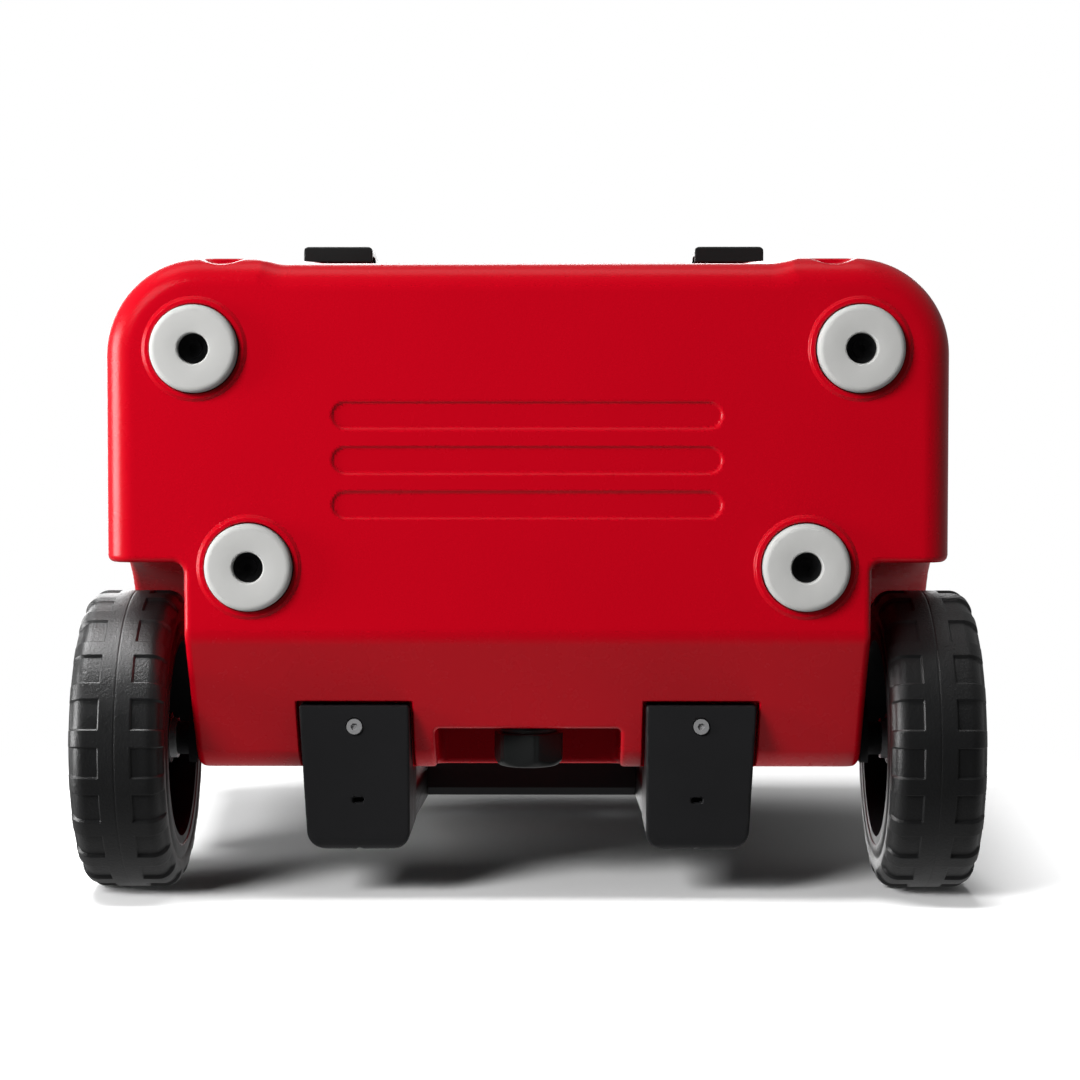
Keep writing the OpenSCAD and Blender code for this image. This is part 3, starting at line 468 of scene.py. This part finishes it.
def make_materials():
    m = {}
    m["red_skin"] = moulded_plastic("red_polyethylene", (0.60, 0.0010, 0.0105), 0.27,
                                    [(330, 0.00006, 2), (1500, 0.00002, 2)], 0.02, 0.3, 0.02, 0.015)
    m["foot_rubber"] = moulded_plastic("pale_rubber", (0.60, 0.60, 0.585), 0.62,
                                       [(900, 0.00005, 4), (70, 0.0003, 2)], 0.08)
    m["seal_rubber"] = moulded_plastic("grey_rubber", (0.30, 0.30, 0.30), 0.6, [(1200, 0.00004, 3)])
    m["black_nylon"] = moulded_plastic("black_nylon", (0.017, 0.017, 0.018), 0.44,
                                       [(2200, 0.00005, 2)], 0.12, 0.35)
    m["latch_nylon"] = moulded_plastic("latch_nylon", (0.014, 0.016, 0.016), 0.40,
                                       [(2200, 0.00004, 2)], 0.12, 0.4)
    m["plug_plastic"] = moulded_plastic("plug_plastic", (0.012, 0.013, 0.013), 0.36, [(2000, 0.00004, 2)])
    m["hub_plastic"] = moulded_plastic("hub_plastic", (0.010, 0.010, 0.011), 0.42, [(1800, 0.00005, 2)])
    m["bush_plastic"] = moulded_plastic("acetal", (0.70, 0.69, 0.65), 0.4, [(1500, 0.00002, 2)], 0.04)
    m["tyre_rubber"] = moulded_plastic("tyre_rubber", (0.010, 0.0102, 0.0105), 0.38,
                                       [(650, 0.00022, 3), (2600, 0.00006, 2)], 0.2, 0.9)
    m["black_aluminium"] = metal("black_aluminium", (0.022, 0.022, 0.024), 0.36, (1, 1, 0.02))
    m["bright_steel"] = metal("bright_steel", (0.66, 0.66, 0.67), 0.34, (1, 8, 1), 0.1, 0.6)
    m["dark_steel"] = metal("dark_steel", (0.05, 0.05, 0.053), 0.42)
    m["foam"] = moulded_plastic("rigid_foam", (0.82, 0.72, 0.48), 0.9, [(500, 0.0004, 4)], 0.15)
    return m


# ---------------------------------------------------------------- camera, stage and lights

def make_camera():
    """In front of the chest's bottom, which the chest shows when it lies on its back."""
    camera = bpy.data.objects.new("camera", bpy.data.cameras.new("camera"))
    bpy.context.scene.collection.objects.link(camera)
    camera.data.lens = 85
    camera.data.sensor_width = 36
    camera.data.clip_end = 100
    forward = Vector((-0.00667, 0.0451, 1)).normalized()
    right = forward.cross(Vector((0, -1, 0))).normalized()
    up = right.cross(forward)
    turn = Matrix((right, up, -forward)).transposed().to_4x4()
    camera.matrix_world = Matrix.Translation(Vector((0.017, -0.07445, -1.445))) @ turn
    bpy.context.scene.camera = camera


def stage_material():
    """White near the chest, and clear to the camera far from it and from behind."""
    n = Nodes("stage")
    n.set(Base_Color=(0.93, 0.93, 0.93, 1), Roughness=1.0, Specular_IOR_Level=0.0)
    place = n.add("ShaderNodeTexCoord").outputs["Object"]
    away = n.add("ShaderNodeVectorMath", {0: place}, operation="LENGTH").outputs["Value"]
    inputs = {"Value": away, "From Min": 0.45, "From Max": 0.85, "To Min": 0.0, "To Max": 1.0}
    far = n.add("ShaderNodeMapRange", inputs, interpolation_type="SMOOTHSTEP").outputs["Result"]
    behind = n.add("ShaderNodeNewGeometry").outputs["Backfacing"]
    hidden = n.add("ShaderNodeMath", {0: far, 1: behind}, operation="MAXIMUM").outputs[0]
    clear = n.add("ShaderNodeBsdfTransparent").outputs[0]
    mix = n.add("ShaderNodeMixShader", {0: hidden, 1: n.shader.outputs[0], 2: clear})
    n.tree.links.new(mix.outputs[0], n.tree.nodes["Material Output"].inputs["Surface"])
    return n.material


def make_stage():
    """A floor under the feet and one behind the tyres, on which the chest lies on its back."""
    material = stage_material()
    size, low, back = 4.0, -0.0003, cad_box[1][1] + 0.0005
    sheets = {
        "floor": [(-size, -size, low), (size, -size, low), (size, size, low), (-size, size, low)],
        "rear_floor": [(-size, back, size), (-size, back, -size), (size, back, -size), (size, back, size)],
    }
    for name, corners in sheets.items():
        sheet = mesh_object(name, np.array(corners) / MM, [(0, 1, 2, 3)], material, smooth=False)
        for ray in ("shadow", "diffuse", "glossy", "transmission"):
            setattr(sheet, "visible_" + ray, False)
        yield sheet


def group(name, pieces):
    """A collection outside the scene, for a light to single out."""
    collection = bpy.data.collections.new(name)
    for piece in pieces:
        collection.objects.link(piece)
    return collection


def area_light(name, place, target, size, power, only=None):
    """A rectangular light, in metres and watts, for everything or only for one collection."""
    light = bpy.data.objects.new(name, bpy.data.lights.new(name, "AREA"))
    bpy.context.scene.collection.objects.link(light)
    light.data.shape = "RECTANGLE"
    light.data.size, light.data.size_y = size
    light.data.energy = power
    light.location = place
    light.rotation_euler = (Vector(target) - Vector(place)).to_track_quat("-Z", "Y").to_euler()
    light.visible_camera = False
    if only:
        light.light_linking.receiver_collection = only
    return light


def make_lights(sheets, chest, tyres):
    middle = (0, 0, 0.1)
    area_light("key", (-1.35, -1.2, -1.65), middle, (0.9, 0.9), 60).visible_glossy = False
    area_light("left_box", (-2.0, -0.15, -0.2), middle, (0.9, 1.0), 30)
    area_light("front_box", (-0.4, -2.2, 0.0), middle, (2.2, 1.0), 7)
    area_light("top_box", (-0.5, -0.6, 2.4), middle, (2.0, 2.0), 60, only=chest)
    area_light("rear_box", (0.8, 2.2, 1.2), middle, (1.8, 1.8), 34, only=chest).visible_glossy = False
    area_light("tyre_box", (-1.1, -2.0, -0.1), middle, (0.9, 0.9), 40, only=tyres)
    area_light("floor_bounce", (0, 1.6, -0.6), middle, (1.6, 1.0), 4, only=chest).visible_glossy = False
    area_light("rear_floor_light", (-0.4, -2.4, -0.15), middle, (1.6, 1.0), 150, only=sheets[1])
    area_light("floor_light", (-0.6, -0.8, 2.6), middle, (1.4, 1.4), 190, only=sheets[0])


def make_world():
    """White to the camera, and for light a dim grey that grows brighter towards the top."""
    world = bpy.data.worlds.new("world")
    bpy.context.scene.world = world
    world.use_nodes = True
    nodes, links = world.node_tree.nodes, world.node_tree.links
    direction = nodes.new("ShaderNodeSeparateXYZ")
    links.new(nodes.new("ShaderNodeTexCoord").outputs["Generated"], direction.inputs[0])
    strength = nodes.new("ShaderNodeMapRange")
    for key, value in (("From Min", -0.8), ("From Max", 0.4), ("To Min", 0.02), ("To Max", 0.27)):
        strength.inputs[key].default_value = value
    links.new(direction.outputs["Z"], strength.inputs["Value"])
    seen = nodes.new("ShaderNodeBackground")
    seen.inputs["Color"].default_value = (1, 1, 1, 1)
    lit = nodes["Background"]
    lit.inputs["Color"].default_value = (1, 1, 1, 1)
    links.new(strength.outputs["Result"], lit.inputs["Strength"])
    mix = nodes.new("ShaderNodeMixShader")
    links.new(nodes.new("ShaderNodeLightPath").outputs["Is Camera Ray"], mix.inputs[0])
    links.new(lit.outputs[0], mix.inputs[1])
    links.new(seen.outputs[0], mix.inputs[2])
    links.new(mix.outputs[0], nodes["World Output"].inputs["Surface"])


# ---------------------------------------------------------------- tub

def tub_form(x, y, z):
    """The tub with its wheel arches, notches, hand pockets, scoops, flutes and cavity."""
    side = np.abs(x)
    rise = (z - RIM_Z) * LEAN
    front = RIM_FRONT - rise
    corner = CORNER + (z - CORNER_FROM) * CORNER_GROWTH
    walls = plan(x, y, RIM_HALF_W + rise, front, RIM_BACK + rise, corner) * math.cos(DRAFT)
    walls = both(walls, either(FRONT_PANEL - side, front + FRONT_PROUD - y, 30), 2.5)
    d = both(walls, BASE_Z - z, BASE_BEND)
    d = both(d, z - RIM_Z, 2.5)
    under = (y - SLOPE_Y) * math.sin(SLOPE) - (z - BASE_Z) * math.cos(SLOPE)
    d = both(d, under, 3 + 9 * np.clip((y - 75) / 45, 0, 1))
    for fx, fy, _ in FOOT_PLACES:
        recess = np.maximum(np.hypot(side - fx, y - fy) - FOOT_R - FOOT_GAP, z - FOOT_HIGH[2])
        d = without(d, recess, 0.3)
    d = without(d, both(arch(y, z, WELL_R), WELL_X - side, 6), 4)
    up_slope = (y - SLOPE_Y) * math.cos(SLOPE) + (z - BASE_Z) * math.sin(SLOPE)
    notch = both(np.abs(side - TUBE_X) - NOTCH_HALF_W, NOTCH_U - up_slope, 1.5)
    d = without(d, both(notch, -under - NOTCH_DEEP, 1.5), 0.9)
    notch = both(both(side - DRAIN_HALF_W, DRAIN_Y - y, 3), z - DRAIN_TOP, 6)
    d = without(d, notch, 2.2)
    pocket = both(slab(y, *HAND_Y), slab(z, *HAND_Z), 9)
    d = without(d, both(pocket, RIM_HALF_W + rise - HAND_DEEP - side, 6), 3)
    scoop_y = RIM_FRONT + (RIM_Z - CORNER_FROM) * LEAN + SCOOP_DEEP - SCOOP_R
    d = without(d, both(np.hypot(side - SCOOP_X, y - scoop_y) - SCOOP_R, z - SCOOP_TOP, 3), 1.2)
    for i in (-1, 0, 1):
        flute = np.hypot(np.maximum(side - FLUTE_HALF_W, 0), y - FLUTE_Y - i * FLUTE_PITCH) - FLUTE_R
        d = without(d, both(flute, z - BASE_Z - FLUTE_DEEP, 1.2), 1.3)
    hollow = both(cavity_plan(x, y, z, 0), CAVITY_FLOOR - z, 14)
    hump = both(arch(y, z, WELL_R + HUMP_WALL), WELL_X - HUMP_WALL - side, 12)
    hollow = without(hollow, hump, 12)
    d = without(d, hollow, 3)
    drain = np.maximum(np.hypot(x, z - DRAIN_Z) - DRAIN_BORE_R, DRAIN_BORE_Y - y)
    return without(d, drain, 0.4)


def make_foot_bosses(material):
    """A raised ring around each foot that runs out into the flat bottom."""
    inner, outer = FOOT_R + 0.5, FOOT_R + 4
    profile = [(inner, BASE_Z + 1.5), (inner, BOSS_Z + 0.9)]
    profile += arc(inner + 1.1, BOSS_Z + 1.1, 1.1, 180, 270, 5)
    profile += arc(outer - 1.3, BOSS_Z + 1.3, 1.3, 270, 340, 5)
    profile += arc(outer + 1.6, BASE_Z - 1.2, 1.25, 160, 90, 4) + [(outer + 1.8, BASE_Z + 0.3)]
    for word, side in SIDES:
        for row, (fx, fy, _) in zip(ROWS, FOOT_PLACES):
            name = "foot_boss_%s_%s" % (row, word)
            piece = lathe(name, profile, (side * fx, fy, 0), (0, 0, 1), material)
            finish_piece(piece, "tub", "red_skin")


# ---------------------------------------------------------------- lid

def lid_form(x, y, z):
    """The crowned lid with its notches, sunk panel, gasket groove and the plug that enters the cavity."""
    side = np.abs(x)
    front = lid_low[1]
    corner = CORNER + (RIM_Z - CORNER_FROM) * CORNER_GROWTH
    back = HINGE[1] + BARREL_R
    crown = (x / lid_high[0]) ** 2 + ((y - (front + back) / 2) / (back - front) * 2) ** 2
    d = both(plan(x, y, lid_high[0], front, back, corner), z - LID_TOP + crown, LID_EDGE)
    d = both(d, LID_Z - z, 2.2)
    barrel = np.hypot(y - HINGE[1], z - HINGE[2]) - BARREL_R
    d = np.where(y > HINGE[1], np.maximum(d, barrel), d)
    d = without(d, both(np.abs(side - HINGE_X) - HINGE_GAP, HINGE[1] - HINGE_DEEP - y, 5), 3)
    d = without(d, both(np.abs(side - LATCH_X) - LATCH_GAP, y - LATCH_BACK, 3), 2)
    d = without(d, both(side - LID_LEDGE_HALF_W, y - front - 2, 4), 1.8)
    panel = plan(x, y, LID_PANEL_HALF_W, front + LID_PANEL_FRONT, HINGE[1] - LID_PANEL_BACK, 26)
    d = without(d, both(panel, LID_TOP - crown - LID_PANEL - z, 1), 1.5)
    plug_z = LID_Z - LID_PLUG
    plug = both(cavity_plan(x, y, RIM_Z, 6 - (z - plug_z) * 0.18), plug_z - z, 3)
    d = either(d, np.maximum(plug, z - LID_Z - 3), 0.5)
    groove = np.maximum(cavity_plan(x, y, RIM_Z, GASKET_OUT), -cavity_plan(x, y, RIM_Z, GASKET_IN))
    return np.maximum(d, -np.maximum(groove, z - LID_Z - GASKET_DEEP))


def around(value, reach):
    """A band on both sides of a value."""
    return value - reach, value + reach


def make_skins(m):
    """The red skins, on grids that are fine only where there are small steps and edges."""
    flute_end = FLUTE_HALF_W + FLUTE_R
    edges = [TUBE_X - NOTCH_HALF_W, TUBE_X + NOTCH_HALF_W, DRAIN_HALF_W, flute_end, WELL_X]
    across = even_steps(tub_high[0], FINE, MEDIUM, [around(edge, 2.5) for edge in edges])
    flutes, slope_notch = (-90, -18), (82, 92)
    deep = steps(tub_low[1], tub_high[1], FINE, MEDIUM, (flutes, slope_notch, around(DRAIN_Y, 2)))
    up = steps(BASE_Z, RIM_Z, MEDIUM, COARSE, ((0, DRAIN_TOP + 8), (HAND_Z[0] - 6, RIM_Z + 8)))
    tub = moulded("tub_skin", tub_form, [across, deep, up], m["red_skin"])
    finish_piece(tub, "tub", "red_skin", "tub_shell")
    step = 1.3 * MEDIUM
    axes = [even_steps(lid_high[0], step)] + [steps(lid_low[k], lid_high[k], step) for k in (1, 2)]
    lid = moulded("lid_skin", lid_form, axes, m["red_skin"])
    finish_piece(lid, "lid", "red_skin", "lid_shell")
    make_foot_bosses(m["red_skin"])


# ---------------------------------------------------------------- feet, handle bases, plug and latches

def make_feet(material):
    """Round feet with a rounded rim and a stepped hole for the screw."""
    bore, hole, hole_top, lip, edge, top = 3, 8.8, 6.2, 1.2, 3.5, FOOT_HIGH[2]
    profile = [(bore, hole_top), (hole, hole_top)] + arc(hole + lip, lip, lip, 180, 270, 4)
    profile += arc(FOOT_R - edge, edge, edge, 270, 360, 8) + [(FOOT_R, top), (bore, top)]
    for word, side in SIDES:
        for row, (fx, fy, _) in zip(ROWS, FOOT_PLACES):
            node = "foot_%s_%s" % (row, word)
            piece = lathe(node + "_look", profile, (side * fx, fy, 0), (0, 0, 1), material)
            finish_piece(piece, "tub", "foot_rubber", node)


def handle_base_form(x, y, z):
    """The block at the foot of a handle rail, with its screw recess and its two small slots."""
    side = np.abs(x)
    bend, bend_z, waist_z, top_z, line_out = 9, 38.6, 92, 125, 11.6

    def line_y(height):
        return HANDLE_Y + (height - HANDLE_Z) * LEAN + line_out

    def wall_y(height):
        return RIM_BACK + (height - RIM_Z) * LEAN + 1.2

    front, back = BASE_LOW[1], BASE_HIGH[1]
    points = [(front, BASE_LOW[2])] + arc(back - bend, bend_z + bend, bend, 285, 375, 7)
    points += [(line_y(waist_z), waist_z), (line_y(top_z), top_z), (wall_y(top_z), top_z), (wall_y(74), 74)]
    points += [(front, 44)]
    d = outline(y, z, points)
    inner, outer, taper, corner = BASE_LOW[0], BASE_HIGH[0], 4.5, 12
    lean_in = (outer - side) - np.clip((y - front) / (back - front), 0, 1) * taper
    across = both(both(-lean_in, inner - side), y - back, corner)
    d = both(d, across, 1.3)
    d = both(d, along_handle(y, z) - BASE_TOP_S, 1)
    d = without(d, np.maximum(np.hypot(side - 101, y - 101) - 4.8, z - 35), 0.4)
    d = without(d, np.maximum(both(slab(side, 96, 102), slab(y, 143.3, 146.2), 0.6), z - 44), 0.3)
    return without(d, np.hypot(side - 99, y - back - 0.2) - 1.8, 0.4)


def drain_plug_form(x, y, z):
    """A six-sided knob on a threaded stem."""
    r, a = np.hypot(x, z - DRAIN_Z), np.arctan2(z - DRAIN_Z, x) + PLUG_TURN
    sector = math.pi / 3
    a = np.mod(a, sector) - sector / 2
    knob = both(r * np.cos(a) - PLUG_R * math.cos(sector / 2), np.abs(r * np.sin(a)) - PLUG_R / 2 + 0.2, 2.2)
    knob = both(knob, slab(y, PLUG_KNOB_Y, PLUG_HIGH[1]), 0.8)
    knob = both(knob, (r + y - PLUG_HIGH[1] - PLUG_R + 4.6) * math.sqrt(0.5), 1.2)
    stem = np.maximum(r - PLUG_STEM_R, slab(y, PLUG_LOW[1], PLUG_KNOB_Y + 2))
    thread = THREAD_R + 0.9 * np.cos((y - PLUG_KNOB_Y) * 2 * math.pi / THREAD_PITCH) - r
    return np.minimum(knob, np.maximum(stem, -thread * 0.6 - 1.4))


def lever_form(x, y, z):
    """A latch lever: a bent arm about its pin, with a hooked foot and a thumb slot."""
    side = np.abs(np.abs(x) - LATCH_X)
    front, low, half = LEVER_LOW[1], LEVER_LOW[2], (LEVER_HIGH - LEVER_LOW)[0] / 2
    points = [(8.5, 59), (5.5, 53), (3.5, 38), (2.5, 23), (0, 6), (0, 2), (1.4, 0), (10.6, 0), (12, 1.4),
              (12, 3.4), (7.6, 3.4), (6.8, 10), (7, 28), (12, 39), (15, 53)]
    d = outline(y - front, z - low, points)
    d = either(d, np.hypot(y - LATCH[1], z - LATCH[2]) - 7.5, 1.5)
    d = both(d, side - half, 1.0)
    d = both(d, both(side - half, front - y, 4), 0.6)
    thumb = np.hypot(np.maximum(side - 13, 0), z - low - 27) - 5
    return without(d, both(thumb, y - front - 3.6, 0.8), 0.8)


def make_small_mouldings(m):
    """Black pieces that are each moulded on a grid about their own node's box."""
    pieces = [("drain_plug", drain_plug_form, FINE, "drain_screw", "plug_plastic")]
    for word, _ in SIDES:
        pieces.append(("handle_base_" + word, handle_base_form, 1.2 * FINE, "tub", "black_nylon"))
        pieces.append(("latch_lever_" + word, lever_form, FINE, "latch_" + word, "latch_nylon"))
    for node, form, step, body, slot in pieces:
        axes = [steps(low, high, step) for low, high in zip(*box_mm(node))]
        finish_piece(moulded(node + "_look", form, axes, m[slot]), body, slot, node)


# ---------------------------------------------------------------- tyres

def tyre_profile():
    """The tyre's outline as (radius, distance from a face, share of the tread's depth cut there).

    The sidewall, the round shoulder and the tread make one half, and the other half mirrors it. A negative
    share is the fine seam around the middle, which runs through pads and ridges alike.
    """
    r, w, width, bore = WHEEL_R, TYRE_SHOULDER, TYRE_HIGH[0] - TYRE_LOW[0], TYRE_BORE
    half = [(bore, 0, 0), (bore + 1.5, 0, 0), (bore + 6, 0, 0), (bore + 7, 0.8, 0),
            (bore + 9, 0.8, 0), (r - w - 5, 0.1, 0), (r - w - 1, 0, 0)]
    half += [(px, py, min(1, i / 3)) for i, (px, py) in enumerate(arc(r - w, w, w, 270, 360, 12))]
    half += [(r, t, 1) for t in (12, 14, 16, 17, TREAD_W - 0.5, TREAD_W)]
    half += [(r, TREAD_W + 0.45, 0), (r, TREAD_W + 0.9, 0), (r, TREAD_W + 2, 0), (r, 24, 0),
             (r, width / 2 - 1, 0), (r, width / 2 - 0.45, 0), (r, width / 2 - 0.2, -0.1)]
    rest = [(pr, width - pw, cut) for pr, pw, cut in reversed(half)]
    return half + rest


def make_tyre(word, side, material):
    """A tyre with rows of sunk pads between ridges, all round."""
    profile = np.array(tyre_profile())
    r, w, cut = profile.T
    along = np.gradient(r), np.gradient(w)
    size = np.maximum(np.hypot(*along), 1e-9)
    out_r, out_w = along[1] / size, -along[0] / size
    pitch = 2 * math.pi / TREAD_PADS
    edge = pitch * TREAD_PAD_SHARE / 2
    soft = 0.35 / WHEEL_R
    marks = [0, edge * 0.4, edge * 0.8] + [edge + k * soft for k in (-4, -2, -1, 1, 2, 4)]
    marks.append((edge + pitch / 2) / 2)
    local = sorted([-t for t in marks[1:]] + marks + [pitch / 2])
    angles = np.array([i * pitch + t for i in range(TREAD_PADS) for t in local])
    sunk = np.array([1.0 if abs(t) < edge else 0.0 for t in local] * TREAD_PADS)
    points = []
    for a, pad in zip(angles, sunk):
        deep = np.where(cut < 0, -cut * 1.5, cut * pad * TREAD_DEEP)
        radius, across = r - out_r * deep, w - out_w * deep
        turn = a - TREAD_TURN
        x = side * (TYRE_LOW[0] + across)
        y, z = AXLE[1] - radius * math.sin(turn), AXLE[2] - radius * math.cos(turn)
        points.append(np.stack([x, y, z], axis=1))
    n = len(profile)
    faces = []
    for i in range(len(angles)):
        j = (i + 1) % len(angles)
        for k in range(n):
            ring = (i * n + k, j * n + k, j * n + (k + 1) % n, i * n + (k + 1) % n)
            faces.append(ring if side > 0 else ring[::-1])
    piece = mesh_object("tyre_%s_look" % word, np.concatenate(points), faces, material)
    finish_piece(piece, "wheel_" + word, "tyre_rubber", "tyre_" + word)
    return piece


def finish_piece(piece, body, slot, *nodes):
    """Says which body a piece moves with and which nodes it stands for. The slot is not used."""
    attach(piece, body)
    if nodes:
        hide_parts(*nodes)


# ---------------------------------------------------------------- CAD nodes that stay

EDGE = 0.4
# Nodes that pieces stand for, and small or thin ones, keep their plain edges.
SHARP_NODES = ("_shell", "_foam", "_springs", "_screws", "_washers", "_clips", "_pins",
               "tyre_left", "tyre_right")


def dress_nodes(m):
    """Gives every CAD node its material and most of them rounded edges."""
    slots = {s["node"]: s["material_slot"] for s in frame["record"]["subparts"]}
    for name, node in frame["nodes"].items():
        material = m[slots[name]]
        node.data.materials.clear()
        node.data.materials.append(material)
        if not name.endswith(SHARP_NODES):
            bevel = node.modifiers.new("edges", "BEVEL")
            bevel.width = EDGE * MM
            bevel.segments = 2
            bevel.limit_method = "ANGLE"
            bevel.angle_limit = math.radians(35)
            bevel.harden_normals = True


make_camera()
sheets = [group("only_" + sheet.name, [sheet]) for sheet in make_stage()]
materials = make_materials()
bpy.context.scene.view_settings.view_transform = "Standard"
dress_nodes(materials)
make_skins(materials)
make_feet(materials["foot_rubber"])
make_small_mouldings(materials)
tyres = [make_tyre(word, side, materials["tyre_rubber"]) for word, side in SIDES]
chest = [piece for piece in bpy.data.objects if piece.type == "MESH" and "floor" not in piece.name]
make_lights(sheets, group("chest", chest), group("tyres", tyres))
make_world()
